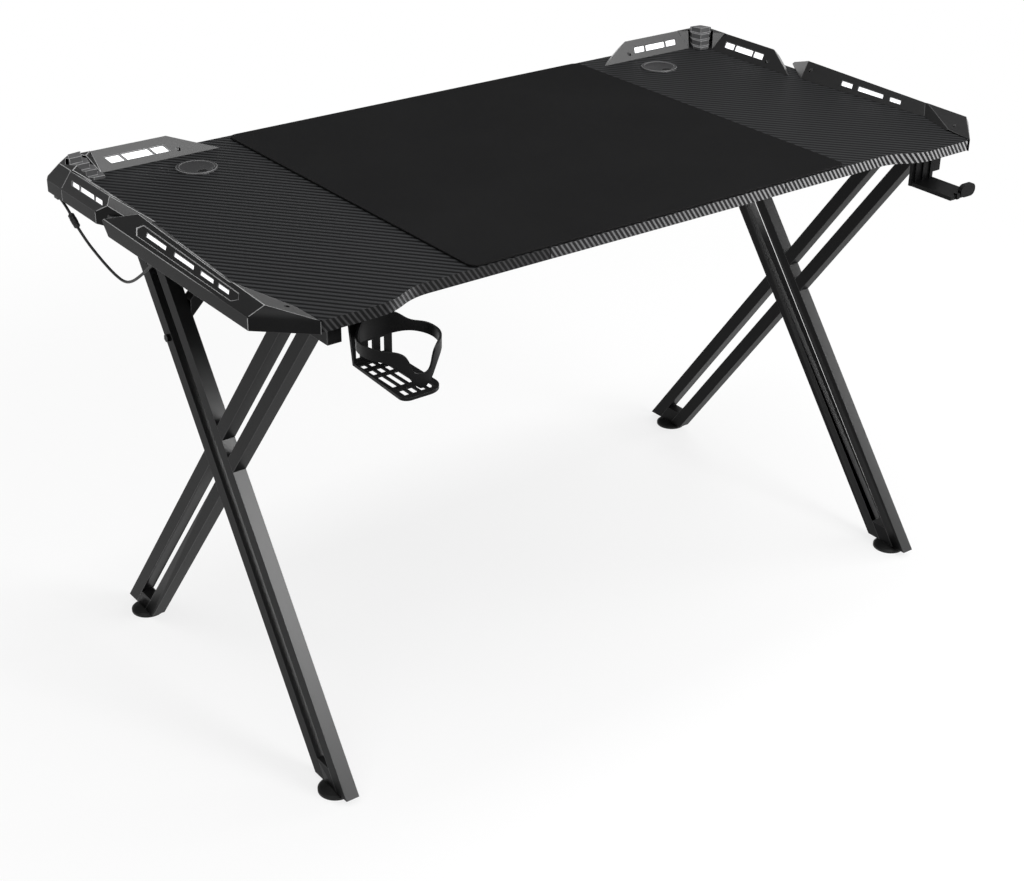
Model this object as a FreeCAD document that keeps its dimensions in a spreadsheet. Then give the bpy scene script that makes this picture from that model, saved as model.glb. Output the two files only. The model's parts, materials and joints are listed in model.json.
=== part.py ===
import FreeCAD, Part
import math
import os
import re
import Sketcher

# A gaming desk in millimetres: X to the right, Y to the back, Z up from the floor.
# Sizes are given in the desk's own frame, with y = 0 between the two long edges. Every piece is
# then moved back a little, so that the origin lies under the middle of the whole outline.
SIZES = {
    # desktop: three panels, wider at the two front wings
    "top_height": 735, "top_thickness": 16, "rear_edge": 330, "wing_edge": 332, "middle_edge": 307,
    "side_edge": 628, "seam": 213, "bend_radius": 90,
    "bend_outer": "=side_edge - 152", "bend_inner": "=bend_outer - 46",
    "rear_corner_cut": 15, "nose_cut_x": 54, "nose_cut_y": 48.6, "underside": "=top_height - top_thickness",
    "seam_plate_length": 90, "seam_plate_width": 40, "seam_plate_thickness": 2.5,
    "seam_plate_y": "=middle_edge - 87",
    # cable grommets
    "grommet_x": "=side_edge - 187", "grommet_y": "=rear_edge - 100", "grommet_hole": 54,
    "sleeve_outer": 53.4, "sleeve_bore": 45, "sleeve_depth": 14, "flange": 62, "flange_edge": 1.4,
    "flange_rise": 2.6, "lid": 50, "lid_clearance": 0.3, "lid_thickness": 2.4, "lid_dish": 1,
    "lid_rim": 3, "lid_sink": 0.4, "notch": 17, "notch_offset": 20,
    # side frames: crossed pairs of square tubes under a rail
    "tube": 21, "tube_wall": 1.5, "leg_slot": 24, "leg_bottom": 10, "leg_foot_x": "=side_edge - 69",
    "leg_lean": 16, "leg_head_x": "=leg_foot_x - leg_lean", "main_foot_y": "=wing_edge - 40",
    "main_head_y": "=rear_edge - 121.9", "cross_foot_y": "=rear_edge - 50", "leg_bridge": 28,
    "rail_height": 35, "rail_bottom": "=underside - rail_height", "rail_front": "=wing_edge - 32",
    "rail_rear": "=rear_edge - 40", "plug_thickness": 2,
    "leg_slope": "=(main_foot_y + main_head_y) / (rail_bottom - leg_bottom)",
    "tab_length": 24, "tab_width": 22, "tab_thickness": 3, "tab_y": "=rail_rear - 40",
    "bolt_z": "=rail_bottom - 148", "bolt_head": 12, "bolt_head_height": 4, "bolt_shank": 6,
    # long beams under the top
    "beam_y": 104, "beam_width": 20, "beam_height": 30, "end_plate": 4, "end_plate_width": 56,
    "beam_bolt_reach": 20, "beam_bolt_head": 10, "beam_bolt_shank": 5.8, "bolt_clearance": 0.4,
    "brace": 20, "brace_foot": "=underside - 147.5",
    # levelling feet
    "foot_disc": 52, "foot_disc_height": 6, "foot_neck": 20, "stud": 8, "stud_length": 13,
    "stud_clearance": 0.3, "foot_inset": 3,
    # light fairings: wing mouldings, corner and front mouldings
    "shell_wall": 2.5, "lens_thickness": 1.6, "ridge_rise": 23.5, "skirt_drop": 18,
    "ridge_in": 33, "wing_width": 49.5, "wing_tip": 193, "wing_ridge_end": 121, "wing_end": 126,
    "wing_end_rise": 9, "wing_chamfer": 106, "wing_overhang": 9, "rear_overhang": 8,
    "corner_depth": 70, "corner_width": 66, "corner_chamfer": 30, "corner_steepness": 1.09,
    "corner_top": 24, "corner_edge": 4,
    "side_line": "=side_edge + wing_overhang - wing_width", "side_root": "=rear_edge - corner_depth",
    "rear_line": "=rear_edge + rear_overhang - wing_width", "rear_root": "=side_edge - corner_width",
    "front_overhang": 17, "front_skirt": "=side_edge + front_overhang",
    "tail_y": "=side_root - wing_tip - 23",
    "nose_outer": "=wing_edge - 60", "nose_inner": "=side_edge - 49",
    "window_low": 0.33, "window_high": 0.63, "slit_low": 0.44, "slit_high": 0.62, "window_lean": 6,
    "recess_depth": 1,
    "led_width": 8, "led_thickness": 1.2, "led_in": 20,
    # stepped corner caps
    "cap_x": "=side_edge - 60.3", "cap_y": "=rear_edge - 65.3", "cap_length": 54.6, "cap_angle": 50.4,
    "cap_front": 25, "cap_back": 36.8, "cap_point": 11, "cap_first": 5, "cap_rise": 8.6, "cap_gap": 4,
    # cloth mat between the two rear wings
    "mat_half_width": "=rear_root - wing_tip - 31", "mat_front": "=middle_edge - 2",
    "mat_rear": "=rear_edge - 5", "mat_thickness": 3, "mat_corner": 14,
    # wood screws, six-sided like their holes
    "screw_shank": 4, "screw_head": 7, "screw_head_height": 2.4, "screw_bite": 11, "pilot": 4.3,
    "boss": 11, "boss_floor": 2.5, "bracket_screw_in": 12,
    # cup holder
    "bracket_back": "=wing_edge - 27",
    "holder_x": "=side_edge - 132.5", "holder_width": 63, "holder_depth": 122.5,
    "holder_reach": "=bracket_back + holder_depth", "holder_drop": 69,
    "holder_floor": "=underside - holder_drop", "holder_wall": 4, "base_top": "=holder_floor + holder_wall",
    "holder_corner_left": 11, "holder_corner_right": 24, "holder_flange": 30, "holder_slot": 7.5,
    "holder_taper": 6.5, "holder_web": 2, "holder_rim": 4,
    "holder_slot_pitch": 12, "back_slot_pitch": 18, "back_slot_height": 21, "ring_outer": 105, "ring_wall": 3,
    "ring_x": "=side_edge - 139", "ring_y": "=bracket_back + holder_wall + ring_outer / 2", "ring_pad": 24,
    # headphone hook
    "hook_x": "=side_edge - 124", "hook_width": 48, "hook_wall": 5, "hook_drop": 44,
    "hook_floor": "=underside - hook_drop",
    "hook_reach": "=bracket_back + 85", "hook_arm": 46, "hook_arm_thickness": 6, "hook_tip": 31,
    "hook_tip_aside": 13, "hook_tip_rise": 19.5, "hook_tip_corner": 9, "hook_tip_thickness": 7,
    "hook_nub": 6, "hook_nub_gap": 2.5, "hook_nub_rise": 9, "hook_rib": 4, "hook_rib_depth": 2.5,
    "hook_rib_pitch": 16.5, "hook_flange": 24,
    # lamp cord on the left
    "cord": 4, "cord_out": "=rear_edge - 42", "connector": 10, "connector_length": 25, "gland_length": 12,
    "gland_height": 12,
}
STATIONS = {"short": (16, 38), "long": (41.5, 84), "last": (87.5, 109.5)}

document = FreeCAD.newDocument("desk")
sheet = document.addObject("Spreadsheet::Sheet", "sizes")
for row, alias in enumerate(SIZES, 1):
    sheet.set(f"A{row}", alias)
    sheet.setAlias(f"B{row}", alias)
for row, content in enumerate(SIZES.values(), 1):
    sheet.set(f"B{row}", str(content))
document.recompute()

WORD = re.compile(r"[a-z][a-z_]*")
MIDDLE = "(holder_reach - rear_edge - rear_overhang) / 2"
RUN = "sqrt(1 + leg_slope ^ 2)"
Vector = FreeCAD.Vector
nodes = []


def linked(text):
    """The expression with every size name pointing at the sheet."""
    return WORD.sub(lambda m: "sizes." + m.group() if m.group() in SIZES else m.group(), str(text))


def size(text):
    return float(sheet.evalExpression(linked(text)))


def bind(item, **paths):
    for path, text in paths.items():
        item.setExpression(path.replace("__", "."), linked(text))
    return item


def node(item, label):
    """Name a finished piece and move it into the part's frame."""
    item.Label = label
    bind(item, Placement__Base__y=MIDDLE)
    nodes.append(item)
    return item


def mirrored(item, label=None):
    """The same piece on the left; it follows its source, so it needs no move of its own."""
    copy = document.addObject("Part::Mirroring", item.Name + "_left")
    copy.Source = item
    copy.Normal = Vector(1, 0, 0)
    copy.Placement = FreeCAD.Placement()
    if label:
        copy.Label = label
        nodes.append(copy)
    return copy


def pair(item, stem):
    node(item, stem + "_right")
    return mirrored(item, stem + "_left")


def group(name, items):
    compound = document.addObject("Part::Compound", name)
    compound.Links = items
    return compound


def both_sides(name, items):
    """One node that holds the pieces of the right side and their mirror images."""
    right = group(name + "_half", items)
    return node(group(name, [right, mirrored(right)]), name)


def body(name):
    return document.addObject("PartDesign::Body", name)


def origin(owner, role):
    return [item for item in owner.Origin.OriginFeatures if item.Role == role][0]


def sketch(owner, plane, loops=(), circles=(), offset="0"):
    """Closed outlines and (x, y, diameter) circles on one of the body's planes."""
    drawing = owner.newObject("Sketcher::SketchObject", owner.Name + "_outline")
    drawing.AttachmentSupport = [(origin(owner, plane + "_Plane"), "")]
    drawing.MapMode = "FlatFace"
    bind(drawing, AttachmentOffset__Base__z=offset)

    def locate(geometry, point, x, y):
        for kind, text in (("DistanceX", x), ("DistanceY", y)):
            index = drawing.addConstraint(
                Sketcher.Constraint(kind, -1, 1, geometry, point, size(text)))
            drawing.setExpression(f"Constraints[{index}]", linked(text))

    for loop in loops:
        corners = [Vector(size(x), size(y), 0) for x, y in loop]
        lines = [drawing.addGeometry(Part.LineSegment(start, end), False)
                 for start, end in zip(corners, corners[1:] + corners[:1])]
        for line, following in zip(lines, lines[1:] + lines[:1]):
            drawing.addConstraint(Sketcher.Constraint("Coincident", line, 2, following, 1))
        for line, (x, y) in zip(lines, loop):
            locate(line, 1, x, y)
    for x, y, diameter in circles:
        circle = Part.Circle(Vector(size(x), size(y), 0), Vector(0, 0, 1), size(diameter) / 2)
        ring = drawing.addGeometry(circle, False)
        locate(ring, 3, x, y)
        index = drawing.addConstraint(Sketcher.Constraint("Diameter", ring, size(diameter)))
        drawing.setExpression(f"Constraints[{index}]", linked(diameter))
    return drawing


def pad(owner, drawing, length, both_ways=False):
    feature = owner.newObject("PartDesign::Pad", owner.Name + "_pad")
    feature.Profile = drawing
    feature.SideType = "Symmetric" if both_ways else "One side"
    bind(feature, Length=length)
    drawing.Visibility = False
    return feature


def pocket(owner, drawing, length, both_ways=False, forward=False):
    """A cut against the plane's normal, along it, or to both sides."""
    feature = owner.newObject("PartDesign::Pocket", owner.Name + "_pocket")
    feature.Profile = drawing
    feature.SideType = "Symmetric" if both_ways else "One side"
    feature.Reversed = forward
    bind(feature, Length=length)
    drawing.Visibility = False
    return feature


def row_of(owner, feature, pitch, count):
    """Repeat a feature along X."""
    pattern = owner.newObject("PartDesign::LinearPattern", owner.Name + "_row")
    pattern.Originals = [feature]
    pattern.Direction = (origin(owner, "X_Axis"), [""])
    bind(pattern, Length=f"{pitch} * {count - 1}")
    pattern.Occurrences = count
    owner.Tip = pattern
    return pattern


def rounded(owner, feature, radius, wanted):
    """Round the straight edges of a feature for which wanted(edge middle, direction) holds."""
    document.recompute()
    names = []
    for index, edge in enumerate(feature.Shape.Edges, 1):
        if len(edge.Vertexes) == 2:
            start, end = [vertex.Point for vertex in edge.Vertexes]
            if wanted((start + end) / 2, (end - start).normalize()):
                names.append(f"Edge{index}")
    fillet = owner.newObject("PartDesign::Fillet", owner.Name + "_fillet")
    fillet.Base = (feature, names)
    bind(fillet, Radius=radius)
    return fillet


def turned(name, profile):
    """A body of revolution about Z from (radius, height) corners."""
    owner = body(name)
    drawing = sketch(owner, "XZ", [profile])
    feature = owner.newObject("PartDesign::Revolution", name + "_turn")
    feature.Profile = drawing
    feature.ReferenceAxis = (origin(owner, "Z_Axis"), [""])
    feature.Angle = 360
    drawing.Visibility = False
    return owner


def rectangle(left, right, low, high):
    return [(left, low), (right, low), (right, high), (left, high)]


def box(name, x, y, z):
    """A block from three (start, end) pairs of expressions."""
    item = document.addObject("Part::Box", name)
    (left, right), (front, back), (low, high) = x, y, z
    bind(item, Length=f"({right}) - ({left})", Width=f"({back}) - ({front})",
         Height=f"({high}) - ({low})", Placement__Base__x=left, Placement__Base__y=front,
         Placement__Base__z=low)
    return item


def rod(name, diameter, length, x, y, z, along_x=False):
    """A six-sided piece of a screw or bolt."""
    item = document.addObject("Part::Prism", name)
    item.Polygon = 6
    if along_x:
        item.Placement.Rotation = FreeCAD.Rotation(Vector(0, 1, 0), 90)
    bind(item, Circumradius=f"({diameter}) / 2", Height=length, Placement__Base__x=x,
         Placement__Base__y=y, Placement__Base__z=z)
    return item


def hexagon(x, y, across, on_edge=False):
    """Corners of a six-sided hole for the screw of the same kind."""
    corners = []
    for first, second in ((1, 0), (0.5, 0.866), (-0.5, 0.866), (-1, 0), (-0.5, -0.866), (0.5, -0.866)):
        along, up = (second, first) if on_edge else (first, second)
        corners.append((f"{x} + ({along}) * ({across}) / 2", f"{y} + ({up}) * ({across}) / 2"))
    return corners


def fused(name, items):
    item = document.addObject("Part::MultiFuse", name)
    item.Shapes = items
    return item


def plate(name, plane, outline, holes, thickness, offset):
    owner = body(name)
    pad(owner, sketch(owner, plane, [outline] + holes, offset=offset), thickness)
    return owner


def screw_up(name, x, y, under):
    """A wood screw driven up into the top, its head below the height under."""
    head = rod(name + "_head", "screw_head", "screw_head_height", x, y,
               f"{under} - screw_head_height")
    shank = rod(name + "_shank", "screw_shank", f"underside - ({under}) + screw_bite - 1", x, y, under)
    return fused(name, [head, shank])


# Desktop
PANEL = [
    ("seam", "rear_edge"), ("side_edge - rear_corner_cut", "rear_edge"),
    ("side_edge", "rear_edge - rear_corner_cut"), ("side_edge", "nose_cut_y - wing_edge"),
    ("side_edge - nose_cut_x", "-wing_edge"), ("bend_outer", "-wing_edge"),
    ("bend_inner", "-middle_edge"), ("seam", "-middle_edge"),
]
FAIRING_SCREWS = [
    ("side_line + boss", "side_root - wing_tip * 0.668"),
    ("rear_root - wing_tip * 0.668", "rear_line + boss"),
    ("side_edge - 18.5", "tail_y - 6"), ("side_edge - 31", "48 - wing_edge"),
]
HOLDER_SCREWS = [(f"holder_x {side} holder_width * 0.29", "bracket_screw_in - bracket_back") for side in "-+"]
HOOK_SCREWS = [(f"hook_x - hook_width * {share}", "bracket_screw_in - bracket_back") for share in (0.3, -0.1)]
TAB_X = "leg_head_x - tube / 2 - tab_length / 2"
TAB_SCREWS = [(TAB_X, y) for y in ("-tab_y", "0", "tab_y")]
SEAM_SCREWS = [(f"seam {side} seam_plate_length * 0.3", f"{end} seam_plate_y {row} seam_plate_width * 0.25")
               for side in "+-" for end in ("", "-") for row in "+-"]

right_panel = body("right_panel")
outer = pad(right_panel, sketch(right_panel, "XY", [PANEL], offset="underside"), "top_thickness")
bends = (size("bend_inner"), size("bend_outer"))
rounded(right_panel, outer, "bend_radius",
        lambda at, way: abs(way.z) > 0.9 and min(abs(at.x - x) for x in bends) < 1)
pocket(right_panel, sketch(right_panel, "XY", circles=[("grommet_x", "grommet_y", "grommet_hole")],
                           offset="top_height"), "top_thickness")
pocket(right_panel, sketch(right_panel, "XY", [hexagon(x, y, "pilot") for x, y in FAIRING_SCREWS],
                           offset="top_height"), "screw_bite")
below = HOLDER_SCREWS + HOOK_SCREWS + TAB_SCREWS + [s for s in SEAM_SCREWS if "seam +" in s[0]]
pocket(right_panel, sketch(right_panel, "XY", [hexagon(x, y, "pilot") for x, y in below],
                           offset="underside"), "screw_bite", forward=True)
pair(right_panel, "desktop_panel")

centre_panel = body("centre_panel")
pad(centre_panel, sketch(centre_panel, "XY", [rectangle("-seam", "seam", "-middle_edge", "rear_edge")],
                         offset="underside"), "top_thickness")
inner_screws = [hexagon(f"{sign}({x})", y, "pilot") for sign in ("", "-") for x, y in SEAM_SCREWS
                if "seam -" in x]
pocket(centre_panel, sketch(centre_panel, "XY", inner_screws, offset="underside"), "screw_bite", forward=True)
node(centre_panel, "desktop_panel_centre")

seam_plates = []
for index, end in enumerate(("", "-")):
    seam_plates.append(plate(
        f"seam_plate_{index}", "XY",
        rectangle("seam - seam_plate_length / 2", "seam + seam_plate_length / 2",
                  f"{end} seam_plate_y - seam_plate_width / 2", f"{end} seam_plate_y + seam_plate_width / 2"),
        [hexagon(x, y, "pilot") for x, y in SEAM_SCREWS if y.startswith(end + " ")],
        "seam_plate_thickness", "underside - seam_plate_thickness"))
both_sides("seam_plates", seam_plates)
both_sides("seam_screws", [screw_up(f"seam_screw_{index}", x, y, "underside - seam_plate_thickness")
                           for index, (x, y) in enumerate(SEAM_SCREWS)])

mat = body("mat")
sheet_pad = pad(mat, sketch(mat, "XY", [rectangle("-mat_half_width", "mat_half_width", "-mat_front",
                                                  "mat_rear")], offset="top_height"), "mat_thickness")
rounded(mat, sheet_pad, "mat_corner", lambda at, way: abs(way.z) > 0.9)
node(mat, "mouse_mat")

# Cable grommets: a flanged sleeve and a lid that turns in it
SEAT = "(flange_rise - lid_thickness - lid_sink)"
sleeve = turned("sleeve", [
    ("sleeve_bore / 2", "-sleeve_depth"), ("sleeve_outer / 2", "-sleeve_depth"), ("sleeve_outer / 2", "0"),
    ("flange / 2", "0"), ("flange / 2 - flange_edge", "flange_rise"),
    ("lid / 2 + lid_clearance", "flange_rise"), ("lid / 2 + lid_clearance", SEAT), ("sleeve_bore / 2", SEAT)])
lid = turned("lid", [
    ("0", SEAT), ("lid / 2", SEAT), ("lid / 2", f"{SEAT} + lid_thickness"),
    ("lid / 2 - lid_rim", f"{SEAT} + lid_thickness"),
    ("lid / 2 - 2 * lid_rim", f"{SEAT} + lid_thickness - lid_dish"),
    ("0", f"{SEAT} + lid_thickness - lid_dish")])
pocket(lid, sketch(lid, "XY", circles=[("0", "-notch_offset", "notch")]), "lid", both_ways=True)
for item, stem in ((sleeve, "grommet_sleeve"), (lid, "grommet_lid")):
    pair(item, stem)
    bind(item, Placement__Base__x="grommet_x", Placement__Base__y=f"grommet_y + {MIDDLE}",
         Placement__Base__z="top_height")


# Side frames
def leg_line(which, z):
    """Centre of a leg in y at the height z."""
    foot, sign = {"main": ("-main_foot_y", "+"), "cross": ("cross_foot_y", "-")}[which]
    return f"({foot} {sign} leg_slope * (({z}) - leg_bottom))"


def lean(z):
    """Centre of a side frame in x: the feet stand wider than the rail."""
    return f"(leg_foot_x + (leg_head_x - leg_foot_x) * (({z}) - leg_bottom) / (rail_bottom - leg_bottom))"


def slanted(name, which, across, width, top, wall=None):
    """A bar of a leg between two level cuts; across is its offset from the leg's centre."""
    owner = body(name)
    y = f"({leg_line(which, 'leg_bottom')} + ({across}) * {RUN})"
    loops = []
    for inner in ([0, wall] if wall else [0]):
        wide, deep = f"(tube / 2 - {inner})", f"((({width}) / 2 - {inner}) * {RUN})"
        loops.append(rectangle(f"leg_foot_x - {wide}", f"leg_foot_x + {wide}",
                               f"{y} - {deep}", f"{y} + {deep}"))
    run = pad(owner, sketch(owner, "XY", loops, offset="leg_bottom"), f"{top} - leg_bottom")
    run.UseCustomVector = True
    run.AlongSketchNormal = True
    bind(run, Direction__x="(leg_head_x - leg_foot_x) / (rail_bottom - leg_bottom)",
         Direction__y="leg_slope" if which == "main" else "-leg_slope", Direction__z="1")
    return owner


def cut_at_main_leg(owner, keep):
    """Take away what lies beyond the main leg's front (or rear) face."""
    sign, far = {"front": ("-", "+ 2 * rear_edge"), "rear": ("+", "- 2 * rear_edge")}[keep]
    low, high = "0", "top_height"
    face = [f"({leg_line('main', z)} {sign} (tube + leg_slot / 2) * {RUN})" for z in (low, high)]
    beyond = [(face[0], low), (f"{face[0]} {far}", low), (f"{face[1]} {far}", high), (face[1], high)]
    pocket(owner, sketch(owner, "YZ", [beyond]), "4 * leg_foot_x", both_ways=True)


HALF_PITCH = "(tube + leg_slot) / 2"
STUD_HOLE = "stud + 2 * stud_clearance"
BOLT_Y = f"({leg_line('main', 'bolt_z')} + {HALF_PITCH} * {RUN})"
legs = {}
for part_name, which, keep in (("leg_main", "main", None), ("leg_cross_upper", "cross", "front"),
                               ("leg_cross_lower", "cross", "rear")):
    bars = []
    for place, across in (("front", f"-{HALF_PITCH}"), ("rear", HALF_PITCH)):
        bar = slanted(f"{part_name}_{place}", which, across, "tube", "rail_bottom", "tube_wall")
        if keep:
            cut_at_main_leg(bar, keep)
        elif place == "rear":
            pocket(bar, sketch(bar, "YZ", [hexagon(BOLT_Y, "bolt_z", "bolt_shank + bolt_clearance", True)]),
                   "4 * leg_foot_x", both_ways=True)
        bars.append(bar)
    if keep != "front":
        bridge = slanted(part_name + "_bridge", which, "0", "leg_slot", "leg_bottom + leg_bridge")
        step = "+ foot_inset" if which == "main" else "- foot_inset"
        hole = ("leg_foot_x", f"{leg_line(which, 'leg_bottom')} {step}", STUD_HOLE)
        pocket(bridge, sketch(bridge, "XY", circles=[hole], offset="leg_bottom"), "stud_length + 2",
               forward=True)
        bars.append(bridge)
    pair(group(part_name, bars), part_name)

RAIL = ("leg_head_x - tube / 2", "leg_head_x + tube / 2")
rail = body("rail")
pad(rail, sketch(rail, "XZ", [
    rectangle(*RAIL, "rail_bottom", "underside"),
    rectangle(f"{RAIL[0]} + tube_wall", f"{RAIL[1]} - tube_wall", "rail_bottom + tube_wall",
              "underside - tube_wall")], offset="-rail_rear"), "rail_front + rail_rear")
BOLT_ROWS = [f"{end} beam_y {row} beam_bolt_reach" for end in ("", "-") for row in "+-"]
BEAM_BOLT_Z = "underside - rail_height / 2"
BEAM_BOLT_HOLES = {y: hexagon(y, BEAM_BOLT_Z, "beam_bolt_shank + bolt_clearance", True) for y in BOLT_ROWS}
pocket(rail, sketch(rail, "YZ", list(BEAM_BOLT_HOLES.values())), "leg_head_x", forward=True)
pair(rail, "top_rail")
both_sides("rail_plugs", [
    box("plug_front", RAIL, ("-rail_front - plug_thickness", "-rail_front"), ("rail_bottom", "underside")),
    box("plug_rear", RAIL, ("rail_rear", "rail_rear + plug_thickness"), ("rail_bottom", "underside"))])
TAB_UNDER = "underside - tab_thickness"
tabs = [plate(f"tab_{index}", "XY",
              rectangle(f"{TAB_X} - tab_length / 2", f"{TAB_X} + tab_length / 2", f"{y} - tab_width / 2",
                        f"{y} + tab_width / 2"), [hexagon(x, y, "pilot")], "tab_thickness", TAB_UNDER)
        for index, (x, y) in enumerate(TAB_SCREWS)]
both_sides("rail_tabs", tabs)
both_sides("top_screws", [screw_up(f"top_screw_{index}", x, y, TAB_UNDER)
                          for index, (x, y) in enumerate(TAB_SCREWS)])

BOLT_FACE = f"{lean('bolt_z')} + tube / 2 + bolt_clearance"
both_sides("leg_bolts", [fused("leg_bolt", [
    rod("leg_bolt_head", "bolt_head", "bolt_head_height", BOLT_FACE, BOLT_Y, "bolt_z", True),
    rod("leg_bolt_shank", "bolt_shank", "tube + bolt_head_height + 1",
        f"{BOLT_FACE} - tube - bolt_head_height", BOLT_Y, "bolt_z", True),
    rod("leg_bolt_nut", "bolt_head - 1", "bolt_head_height - 1",
        f"{BOLT_FACE} - tube - bolt_head_height + 0.2", BOLT_Y, "bolt_z", True)])])

# Long beams between the rails, and a brace from each main leg up to the rear one
BEAM_END = "leg_head_x - tube / 2 - end_plate"
plates, bolts = [], []
for place, end in (("front", "-"), ("rear", "")):
    beam = body(place + "_beam")
    pad(beam, sketch(beam, "YZ", [
        rectangle(f"{end} beam_y - beam_width / 2 + {inner}", f"{end} beam_y + beam_width / 2 - {inner}",
                  f"underside - beam_height + {inner}", f"underside - {inner}")
        for inner in ("0", "tube_wall")]), f"2 * ({BEAM_END})", both_ways=True)
    node(beam, place + "_beam")
    rows = [y for y in BOLT_ROWS if y.startswith(end + " ")]
    plates.append(plate(place + "_end_plate", "YZ",
                        rectangle(f"{end} beam_y - end_plate_width / 2",
                                  f"{end} beam_y + end_plate_width / 2", "rail_bottom", "underside"),
                        [BEAM_BOLT_HOLES[y] for y in rows], "end_plate", BEAM_END))
    for index, y in enumerate(rows):
        name = f"{place}_beam_bolt_{index}"
        bolts.append(fused(name, [
            rod(name + "_head", "beam_bolt_head", "bolt_head_height", f"{BEAM_END} - bolt_head_height", y,
                BEAM_BOLT_Z, True),
            rod(name + "_shank", "beam_bolt_shank", "end_plate + tube / 3", BEAM_END, y, BEAM_BOLT_Z, True)]))
both_sides("beam_end_plates", plates)
both_sides("beam_bolts", bolts)
BEAM_LOW = "underside - beam_height"
BRACE_HEAD = "brace_foot + brace * sqrt(2)"
brace = body("brace")
outline, hollow = [], []
for height, skin in (("brace_foot", "tube_wall * sqrt(2)"), (BRACE_HEAD, "-tube_wall * sqrt(2)")):
    at_leg = f"{lean(height)} - tube / 2"
    at_beam = f"{at_leg} - ({BEAM_LOW} - ({height}))"
    ends = [(at_leg, height), (at_beam, BEAM_LOW)]
    past = [(f"{at_leg} + brace", f"{height} + {skin} - brace"),
            (f"{at_beam} - brace", f"{BEAM_LOW} + {skin} + brace")]
    outline += ends if not outline else ends[::-1]
    hollow += past if not hollow else past[::-1]
pad(brace, sketch(brace, "XZ", [outline], offset="-beam_y"), "brace", both_ways=True)
pocket(brace, sketch(brace, "XZ", [hollow], offset="-beam_y"), "brace - 2 * tube_wall", both_ways=True)
pair(brace, "leg_brace")

# Levelling feet
for place, which, step in (("front", "main", "+ foot_inset"), ("rear", "cross", "- foot_inset")):
    foot = turned("foot_" + place, [
        ("0", "0"), ("foot_disc / 2", "0"), ("foot_disc / 2", "foot_disc_height * 0.6"),
        ("foot_disc / 2 - 3", "foot_disc_height"), ("foot_neck / 2", "leg_bottom"),
        ("stud / 2", "leg_bottom"), ("stud / 2", "leg_bottom + stud_length"),
        ("0", "leg_bottom + stud_length")])
    pair(foot, "foot_" + place)
    bind(foot, Placement__Base__x="leg_foot_x",
         Placement__Base__y=f"{leg_line(which, 'leg_bottom')} {step} + {MIDDLE}")


# Light fairings
def carved(planes, inside, depth=0.0):
    """The space behind all the planes; each plane is three points and how far depth moves it."""
    reach = 500
    solid = Part.makeBox(reach, reach, reach, inside - Vector(1, 1, 1) * reach / 2)
    for first, second, third, share in planes:
        normal = (second - first).cross(third - first).normalize()
        if normal.dot(inside - first) > 0:
            normal = -normal
        nearest = inside + normal * normal.dot(first - inside)
        block = Part.makeBox(2 * reach, 2 * reach, 2 * reach, Vector(-reach, -reach, 0))
        block.Placement = FreeCAD.Placement(nearest - normal * depth * share,
                                            FreeCAD.Rotation(Vector(0, 0, 1), normal))
        solid = solid.cut(block)
    return solid


def upright(x, y, x_end, y_end, share=1):
    return (Vector(x, y, 0), Vector(x_end, y_end, 0), Vector(x, y, 100), share)


def feature(name, shape):
    item = document.addObject("Part::Feature", name)
    item.Shape = shape
    return item


wall, lens_wall = size("shell_wall"), size("lens_thickness")
surface = size("top_height")
skirt_end = surface - size("skirt_drop")
ridge_z = surface + size("ridge_rise")
panel_outline = [Vector(size(x), size(y), surface - 60) for x, y in PANEL]
panel_block = Part.Face(Part.makePolygon(panel_outline + panel_outline[:1])).extrude(Vector(0, 0, 60))
floor_plane = (Vector(0, 0, skirt_end), Vector(1, 0, skirt_end), Vector(0, 1, skirt_end), -1)


def six_sided(across, x, y, z):
    """A tall six-sided pillar that stands at the height z."""
    turns = [step * math.pi / 3 for step in range(6)]
    corners = [Vector(x + across / 2 * math.cos(turn), y + across / 2 * math.sin(turn), z) for turn in turns]
    return Part.Face(Part.makePolygon(corners + corners[:1])).extrude(Vector(0, 0, 60))


def boss(outline_solid, x, y):
    """A screw pillar that reaches from the top to the moulding's skin, and its stepped hole."""
    pillar = six_sided(size("boss"), x, y, surface).common(outline_solid)
    hole = six_sided(size("screw_head") + 0.8, x, y, surface + size("boss_floor"))
    return pillar, hole.fuse(six_sided(size("pilot"), x, y, surface - 5))


def opening(corners, depth):
    """A prism through a skin, to both sides of the flat face nearest to its corners."""
    normal = (corners[1] - corners[0]).cross(corners[2] - corners[0]).normalize()
    flat = [corner - normal * normal.dot(corner - corners[0]) for corner in corners]
    face = Part.Face(Part.makePolygon(flat + flat[:1]))
    face.translate(normal * -depth)
    return face.extrude(normal * 2 * depth)


def moulding(make, screw_holes, cuts, lens_box):
    """A hollow shell open below with its windows, and the lens that lines the windows."""
    outline_solid = make(0)
    cavity = make(wall)
    shell = outline_solid.cut(cavity)
    holes = []
    for x, y in screw_holes:
        pillar, hole = boss(outline_solid, x, y)
        shell = shell.fuse(pillar)
        holes.append(hole)
    shell = shell.cut(panel_block)
    lens = None
    if lens_box:
        lens = cavity.cut(make(wall + lens_wall)).common(lens_box)
        for x, y in screw_holes:
            lens = lens.cut(six_sided(size("boss") + 1, x, y, surface))
    for cutter in holes + cuts:
        shell = shell.cut(cutter)
    return shell, lens


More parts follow.
